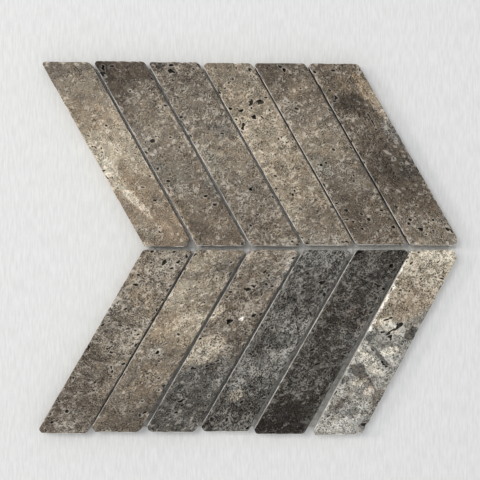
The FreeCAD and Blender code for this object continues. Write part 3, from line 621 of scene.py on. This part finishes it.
def surface_nets(field):
    """Points, one in each lattice cell that the surface crosses, and the quads that join them."""
    inside = field < 0
    count = sum(
        inside[i:field.shape[0] - 1 + i, j:field.shape[1] - 1 + j, k:field.shape[2] - 1 + k].astype(np.int8)
        for i in (0, 1) for j in (0, 1) for k in (0, 1)
    )
    cells = np.argwhere((count > 0) & (count < 8))
    number = -np.ones(count.shape, int)
    number[tuple(cells.T)] = np.arange(len(cells))
    total, crossings = np.zeros((len(cells), 3)), np.zeros(len(cells))
    for axis in range(3):
        others = [n for n in range(3) if n != axis]
        for one in (0, 1):
            for two in (0, 1):
                start = np.zeros(3, int)
                start[others] = one, two
                end = start.copy()
                end[axis] = 1
                a = field[tuple((cells + start).T)]
                b = field[tuple((cells + end).T)]
                crossed = (a < 0) != (b < 0)
                share = np.where(crossed, a / np.where(crossed, a - b, 1), 0)
                place = np.repeat(start[None, :].astype(float), len(cells), axis=0)
                place[:, axis] = share
                total += place * crossed[:, None]
                crossings += crossed
    points = cells + total / crossings[:, None]
    quads = []
    for axis in range(3):
        one, two = (axis + 1) % 3, (axis + 2) % 3
        low = [slice(None)] * 3
        high = [slice(None)] * 3
        low[axis], high[axis] = slice(None, -1), slice(1, None)
        edges = np.argwhere(inside[tuple(low)] != inside[tuple(high)])
        keep = np.ones(len(edges), bool)
        for other in (one, two):
            keep &= (edges[:, other] > 0) & (edges[:, other] < field.shape[other] - 1)
        edges = edges[keep]
        outward = inside[tuple(edges.T)]
        ring = []
        for back_one, back_two in ((1, 1), (0, 1), (0, 0), (1, 0)):
            cell = edges.copy()
            cell[:, one] -= back_one
            cell[:, two] -= back_two
            ring.append(number[tuple(cell.T)])
        ring = np.stack(ring, axis=1)
        ring[~outward] = ring[~outward][:, ::-1]
        quads.append(ring)
    return points, np.concatenate(quads)


def close_back(mesh):
    """Closes the open back of a carved stone with one flat face, and shades the rest smooth."""
    bm = bmesh.new()
    bm.from_mesh(mesh)
    for face in bm.faces:
        face.smooth = True
    rim = [edge for edge in bm.edges if edge.is_boundary]
    for face in bmesh.ops.holes_fill(bm, edges=rim, sides=0)["faces"]:
        face.smooth = False
    bmesh.ops.recalc_face_normals(bm, faces=bm.faces)
    bm.to_mesh(mesh)
    bm.free()


class Shader:
    """A short way to write a node tree."""

    def __init__(self, name):
        self.material = bpy.data.materials.new(name)
        self.material.use_nodes = True
        self.tree = self.material.node_tree
        self.tree.nodes.clear()

    def node(self, kind, inputs=None, **settings):
        made = self.tree.nodes.new(kind)
        for key, value in settings.items():
            setattr(made, key, value)
        for key, value in (inputs or {}).items():
            self.put(value, made.inputs[key])
        return made

    def put(self, value, socket):
        """Links an output to the socket, or sets the socket to a plain value."""
        if isinstance(value, bpy.types.NodeSocket):
            self.tree.links.new(value, socket)
        else:
            socket.default_value = value

    def attribute(self, name, output):
        return self.node("ShaderNodeAttribute", attribute_name=name).outputs[output]

    def channels(self, colour):
        return self.node("ShaderNodeSeparateColor", {"Color": colour}).outputs

    def calc(self, operation, *values):
        made = self.node("ShaderNodeMath", operation=operation)
        for value, socket in zip(values, made.inputs):
            self.put(value, socket)
        return made.outputs[0]

    def times(self, one, two):
        return self.calc("MULTIPLY", one, two)

    def remap(self, value, low, high, to_low=0.0, to_high=1.0):
        """Runs smoothly from to_low to to_high as the value goes from low to high."""
        inputs = {"Value": value, "From Min": low, "From Max": high, "To Min": to_low, "To Max": to_high}
        settings = {"clamp": True, "interpolation_type": "SMOOTHSTEP"}
        return self.node("ShaderNodeMapRange", inputs, **settings).outputs[0]

    def balance(self, *weighted):
        """The weighted sum of fields that each run from 0 to 1, shifted to be about nought."""
        total = -sum(weight for _, weight in weighted) / 2
        for field, weight in weighted:
            total = self.calc("MULTIPLY_ADD", field, weight, total)
        return total

    def noise(self, vector, scale, detail=3.0, roughness=0.6, distortion=0.0):
        return self.node("ShaderNodeTexNoise", {
            "Vector": vector, "Scale": scale, "Detail": detail, "Roughness": roughness,
            "Distortion": distortion,
        }).outputs[0]

    def cells(self, vector, scale):
        """A random cell pattern: how far the cell's middle is, and three random numbers for the cell."""
        inputs = {"Vector": vector, "Scale": scale, "Randomness": 1.0}
        made = self.node("ShaderNodeTexVoronoi", inputs, feature="F1")
        return made.outputs["Distance"], self.channels(made.outputs["Color"])

    def mix(self, factor, one, two, blend="MIX"):
        made = self.node("ShaderNodeMix", data_type="RGBA", blend_type=blend)
        for value, socket in ((factor, made.inputs[0]), (one, made.inputs[6]), (two, made.inputs[7])):
            self.put(value, socket)
        return made.outputs[2]

    def finish(self, colour, roughness, height, depth, specular):
        bump = self.node("ShaderNodeBump", {"Height": height, "Distance": depth, "Strength": 1.0})
        shader = self.node("ShaderNodeBsdfPrincipled", {
            "Base Color": colour, "Roughness": roughness, "Specular IOR Level": specular,
            "Normal": bump.outputs[0],
        })
        self.node("ShaderNodeOutputMaterial", {"Surface": shader.outputs[0]})
        return self.material


def grey(level):
    return (level, level, level, 1.0)


def travertine(name, shift, stone):
    """Tumbled travertine over a painted tone: mottle, pale calcite squiggles, rimmed pits, worn arrises,
    painted shade and highlights.
    """
    grain, thread = stone.grain, stone.thread
    steady = min(grain, 1.0)
    s = Shader(name)
    where = s.node("ShaderNodeTexCoord").outputs["Object"]
    place = s.node("ShaderNodeMapping", {
        "Vector": where, "Location": shift, "Rotation": (0.0, 0.0, math.radians(stone.bed)),
        "Scale": (MM, MM / BED_STRETCH, MM),
    }, vector_type="TEXTURE").outputs[0]
    sway = s.node("ShaderNodeTexNoise", {"Vector": place, "Scale": 0.45, "Detail": 3.0, "Roughness": 0.6})
    bent = s.node("ShaderNodeVectorMath", {
        0: sway.outputs[1], 1: (2.6, 2.6, 2.6), 2: place,
    }, operation="MULTIPLY_ADD").outputs[0]
    tone = s.attribute("tone", "Color")
    hollow, crust_and_highlight, edge = (s.attribute(key, "Fac") for key in ("hollow", "crust_and_highlight", "edge"))

    # Clouds, mottle and fine grain, light and dark, then warm and cool
    cloud = s.remap(s.noise(place, 0.06, 6.0, 0.62, 0.8), 0.35, 0.65)
    mottle = s.noise(place, 0.15, 3.0, 0.6, 0.6)
    clump = s.remap(s.noise(place, 0.34, 2.0, 0.6, 0.6), 0.36, 0.64)
    speckle = s.noise(place, 1.15, 1.0, 0.6)
    grain_tone = s.cells(place, 1.25)[1][0]
    broad = s.balance((cloud, 0.22), (s.remap(mottle, 0.40, 0.60), 0.55 * steady), (clump, 0.45 * steady))
    fine = s.balance((s.remap(speckle, 0.36, 0.64), 1.60 * grain), (grain_tone, 1.0 * grain))
    busy = s.remap(s.noise(place, 0.10, 2.0, 0.6, 0.6), 0.40, 0.60, 0.5, 1.25)
    light = s.calc("MAXIMUM", s.calc("MULTIPLY_ADD", fine, busy, s.calc("ADD", broad, 1.0)), 0.15)
    light = s.node("ShaderNodeCombineColor", {0: light, 1: light, 2: light}).outputs[0]
    colour = s.mix(1.0, tone, light, "MULTIPLY")
    warm = s.remap(s.noise(place, 0.16, 3.0, 0.6), 0.35, 0.65)
    tint = s.mix(warm, (0.975, 1.0, 1.03, 1.0), (1.025, 1.0, 0.96, 1.0))
    colour = s.mix(1.0, colour, tint, "MULTIPLY")

    # Pale cement, in threads and flecks and round the voids, most where the stone is pale; round the voids
    # it is also a painted highlight
    usual = np.mean([linear(rgb).mean() for _, rgb in stone.grades]) * stone.level
    lift = min(0.26, 0.12 + 2.0 * usual)
    cement = s.mix(1.0, tone, grey(1.65), "MULTIPLY")
    cement = s.mix(1.0, cement, (lift, 0.96 * lift, 0.88 * lift, 1.0), "ADD")
    drift = s.noise(place, 0.07, 2.0, 0.6, 0.8)
    pale = s.calc("DIVIDE", s.node("ShaderNodeRGBToBW", {"Color": tone}).outputs[0], float(usual))
    pale = s.remap(pale, 0.45, 1.05, 0.25, 1.0)
    net = 0.0
    for scale, width in ((0.34, 0.055), (0.15, 0.028)):
        line = s.calc("ABSOLUTE", s.calc("SUBTRACT", s.noise(bent, scale, 1.0, 0.5), 0.5))
        line = s.remap(line, width * 0.4, width, 1.0, 0.0)
        broken = s.calc("MULTIPLY_ADD", drift, 1.2, s.noise(place, 1.3 * scale, 2.0, 0.6, 0.5))
        broken = s.remap(broken, 1.36 - 0.45 * thread, 1.44 - 0.45 * thread)
        net = s.calc("MAXIMUM", net, s.times(line, broken))
    net = s.times(net, pale)
    colour = s.mix(s.times(net, 0.75 + 0.3 * thread), colour, cement)
    distance, chance = s.cells(place, 0.85)
    fleck = s.remap(s.calc("DIVIDE", distance, chance[0]), 0.24, 0.48, 1.0, 0.0)
    shown = s.remap(chance[1], 0.86 - 0.25 * thread, 0.92 - 0.25 * thread, 0.0, 0.9)
    colour = s.mix(s.times(fleck, shown), colour, cement)
    # The pale ring round the voids: calcite crust, and a painted highlight where their rims catch the light
    ring = s.times(s.remap(crust_and_highlight, 0.1, 0.75), s.remap(mottle, 0.40, 0.60, 0.35, 0.9))
    colour = s.mix(ring, colour, cement)

    # Dark specks with pale rims, in crowds
    distance, chance = s.cells(bent, 0.58)
    reach = s.calc("DIVIDE", distance, chance[0])
    crowd = s.noise(place, 0.11, 2.0, 0.6, 0.5)
    usual_gap = 2.80 - 0.040 * stone.pits
    chosen = s.remap(s.calc("MULTIPLY_ADD", crowd, 3.5, chance[1]), usual_gap, usual_gap + 0.1)
    rim = s.times(s.remap(reach, 0.56, 0.80, 1.0, 0.0), chosen)
    colour = s.mix(s.times(rim, s.times(pale, 0.75)), colour, cement)
    speck = s.times(s.remap(reach, 0.35, 0.55, 1.0, 0.0), chosen)
    dark = s.mix(1.0, tone, grey(0.14), "MULTIPLY")
    colour = s.mix(s.times(speck, 0.95), colour, dark)

    # Painted shade in the hollows, rubbed arrises with a painted highlight on the left and bottom, and walls
    # pale with dust and painted light
    # Painted shade: the deeper a point lies in a hollow, the nearer to black it is painted
    colour = s.mix(s.remap(hollow, 0.22, 0.90, 0.0, 0.93), colour, (0.020, 0.017, 0.013, 1.0))
    level = s.node("ShaderNodeSeparateXYZ", {"Vector": where}).outputs["Z"]
    # The pale arris colour: wear all round, and a painted highlight strongest on the left and bottom arrises
    wear_and_painted_highlight = s.remap(s.noise(place, 0.07, 3.0, 0.6), 0.40, 0.60, 0.45, 1.0)
    wear_and_painted_highlight = s.times(wear_and_painted_highlight, s.remap(level, 7.0 * MM, 9.5 * MM))
    colour = s.mix(s.times(s.remap(edge, 0.40, 0.75), wear_and_painted_highlight), colour, (0.95, 0.90, 0.83, 1.0))
    # The walls under the face are painted pale: partly dust, partly painted light that lifts the walls
    # shaded in the joints
    dust_and_painted_light = s.remap(level, 8.2 * MM, 10.4 * MM, stone.dust, 0.0)
    dust_and_painted_light = s.times(dust_and_painted_light, s.remap(speckle, 0.3, 0.7, 0.6, 1.0))
    dust_and_painted_light = s.times(dust_and_painted_light, s.remap(crust_and_highlight, 0.2, 0.7, 1.0, 0.0))
    colour = s.mix(dust_and_painted_light, colour, (0.80, 0.78, 0.73, 1.0))

    roughness = s.remap(edge, 0.1, 0.6, 0.85, 0.6)
    height = s.calc("MULTIPLY_ADD", mottle, 0.6, s.times(speckle, 0.5))
    height = s.calc("SUBTRACT", height, s.times(speck, 0.9))
    return s.finish(colour, roughness, height, 0.35 * MM, 0.25)


def glass_yarn(name, along):
    """Coated glass yarn: long fibres under a milky film, a little dusty."""
    s = Shader(name)
    where = s.node("ShaderNodeTexCoord").outputs["Object"]
    stretch = (60.0, 3000.0, 3000.0) if along == "x" else (3000.0, 60.0, 3000.0)
    place = s.node("ShaderNodeMapping", {"Vector": where, "Scale": stretch}).outputs[0]
    fibres = s.noise(place, 1.0, 4.0, 0.7)
    dust = s.noise(where, 120.0, 4.0, 0.6)
    colour = s.mix(s.remap(fibres, 0.35, 0.65), (0.62, 0.60, 0.55, 1.0), (0.84, 0.82, 0.77, 1.0))
    colour = s.mix(s.remap(dust, 0.45, 0.75, 0.0, 0.5), colour, (0.44, 0.40, 0.34, 1.0))
    return s.finish(colour, s.remap(fibres, 0.3, 0.7, 0.45, 0.65), fibres, 0.15 * MM, 0.5)


def pale_floor(name):
    """A plain pale painted board with faint brush marks."""
    s = Shader(name)
    where = s.node("ShaderNodeTexCoord").outputs["Object"]
    place = s.node("ShaderNodeMapping", {"Vector": where, "Scale": (700.0, 90.0, 1.0)}).outputs[0]
    brush = s.noise(place, 1.0, 4.0, 0.6)
    colour = s.mix(s.remap(brush, 0.3, 0.7), (0.83, 0.83, 0.82, 1.0), (0.93, 0.93, 0.92, 1.0))
    return s.finish(colour, 0.8, brush, 0.10 * MM, 0.3)


def make_stones():
    for number, (name, stone) in enumerate(STONES.items()):
        block = Block(Outline(name), seed=100 + number)
        block.raise_body()
        block.open_voids(stone)
        piece = bpy.data.objects.new(f"{name}_tumbled", block.mesh(f"{name}_tumbled", stone))
        bpy.context.collection.objects.link(piece)
        shift = (0.37 * number, 0.53 * number, 0.11 * number)
        piece.data.materials.append(travertine(f"{name}_travertine", shift, stone))
        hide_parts(name)
        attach(piece, "root")


def dress_scrim():
    for name, along in (("scrim_weft", "x"), ("scrim_warp", "y")):
        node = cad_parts[name]
        node.data.materials.clear()
        node.data.materials.append(glass_yarn(f"{name}_yarn", along))


def make_floor():
    half = 2.0
    corners = [(-half, -half, 0), (half, -half, 0), (half, half, 0), (-half, half, 0)]
    mesh = bpy.data.meshes.new("floor")
    mesh.from_pydata(corners, [], [(0, 1, 2, 3)])
    mesh.materials.append(pale_floor("pale_floor"))
    floor = bpy.data.objects.new("floor", mesh)
    floor.location.z = -FLOOR_DROP * MM
    bpy.context.collection.objects.link(floor)


def add_light(name, place, size, power, colour):
    lamp = bpy.data.lights.new(name, "AREA")
    lamp.shape = "DISK"
    lamp.size = size
    lamp.energy = power
    lamp.color = colour
    light = bpy.data.objects.new(name, lamp)
    light.location = place
    light.rotation_euler = (-Vector(place)).to_track_quat("-Z", "Y").to_euler()
    bpy.context.collection.objects.link(light)


def light_studio():
    """Soft daylight all round, a broad lamp high on the upper left, and a warm one lower on the left."""
    world = bpy.context.scene.world or bpy.data.worlds.new("studio")
    bpy.context.scene.world = world
    world.use_nodes = True
    sky = world.node_tree.nodes["Background"]
    sky.inputs["Color"].default_value = (0.965, 0.985, 1.0, 1.0)
    sky.inputs["Strength"].default_value = 0.60
    add_light("fill", (-0.78, 0.54, 2.0), size=0.9, power=12.0, colour=(0.985, 0.985, 0.985))
    add_light("key", (-2.3, 0.5, 1.6), size=0.7, power=12.0, colour=(1.0, 0.94, 0.85))


def place_camera():
    lens = bpy.data.cameras.new("camera")
    lens.sensor_width = SENSOR
    lens.lens = SENSOR * VIEW_DISTANCE / (PHOTO_PIXELS * PIXEL)
    camera = bpy.data.objects.new("camera", lens)
    face = CAD_BOX[1].z
    camera.location = (VIEW_MIDDLE[0] * MM, VIEW_MIDDLE[1] * MM, face + VIEW_DISTANCE * MM)
    bpy.context.collection.objects.link(camera)
    bpy.context.scene.camera = camera


place_camera()
light_studio()
make_floor()
make_stones()
dress_scrim()
bpy.context.scene.view_settings.view_transform = "Standard"
